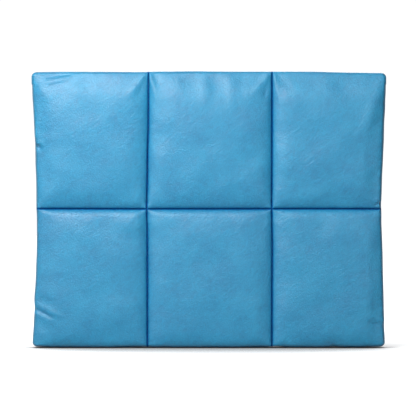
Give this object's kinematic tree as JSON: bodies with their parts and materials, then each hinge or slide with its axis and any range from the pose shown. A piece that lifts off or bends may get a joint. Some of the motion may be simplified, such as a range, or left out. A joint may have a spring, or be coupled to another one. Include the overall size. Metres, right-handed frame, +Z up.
{
  "type": "padded laptop sleeve",
  "caption": "Quilted, puffy leather-look laptop sleeve with a lined, foam-backed pocket and a recessed zip along its top edge.",
  "frame": {"origin": "bottom centre of the sleeve's box: middle of its width and depth, on the level of its bottom edge", "axes": "+Z up from the bottom edge to the zip, X along the width with the zip closing towards +X, the front panel faces -Y"},
  "size_m": [0.3514, 0.04, 0.276],
  "materials": {
    "cover_leather": "satin",
    "fibre_fill": "matte",
    "scrim": "matte",
    "foam": "matte",
    "lining": "matte",
    "binding": "matte",
    "thread": "satin",
    "zip_tape": "matte",
    "zip_coil": "satin",
    "zip_metal": "polished"
  },
  "bodies": {
    "sleeve": {"front_shell": "cover_leather", "back_shell": "cover_leather", "front_pad_bottom_left": "fibre_fill", "front_pad_bottom_centre": "fibre_fill", "front_pad_bottom_right": "fibre_fill", "front_pad_top_left": "fibre_fill", "front_pad_top_centre": "fibre_fill", "front_pad_top_right": "fibre_fill", "back_pad_bottom_left": "fibre_fill", "back_pad_bottom_centre": "fibre_fill", "back_pad_bottom_right": "fibre_fill", "back_pad_top_left": "fibre_fill", "back_pad_top_centre": "fibre_fill", "back_pad_top_right": "fibre_fill", "front_scrim": "scrim", "back_scrim": "scrim", "front_foam": "foam", "back_foam": "foam", "front_lining": "lining", "back_lining": "lining", "left_seam_binding": "binding", "right_seam_binding": "binding", "bottom_seam_binding": "binding", "front_quilting_thread": "thread", "back_quilting_thread": "thread", "front_zip_stitching": "thread", "back_zip_stitching": "thread", "front_zip_tape": "zip_tape", "back_zip_tape": "zip_tape", "front_zip_coil": "zip_coil", "back_zip_coil": "zip_coil", "zip_top_stops": "zip_metal", "zip_bottom_stop": "zip_metal", "zip_end_tab_left": "cover_leather", "zip_end_tab_right": "cover_leather"},
    "slider": {"slider_body": "zip_metal", "puller_pin": "zip_metal"},
    "puller": {"pull_link": "zip_metal", "pull_tab": "cover_leather", "pull_tab_rivet": "zip_metal"}
  },
  "joints": [
    {"name": "slider_travel", "type": "slide", "parent": "sleeve", "child": "slider", "axis": [-1, 0, 0], "range_m": [0, 0.29]},
    {"name": "puller_swing", "type": "hinge", "parent": "slider", "child": "puller", "pos_m": [0.1455, 0, 0.2697], "axis": [0, 1, 0], "range_deg": [0, 180]}
  ]
}
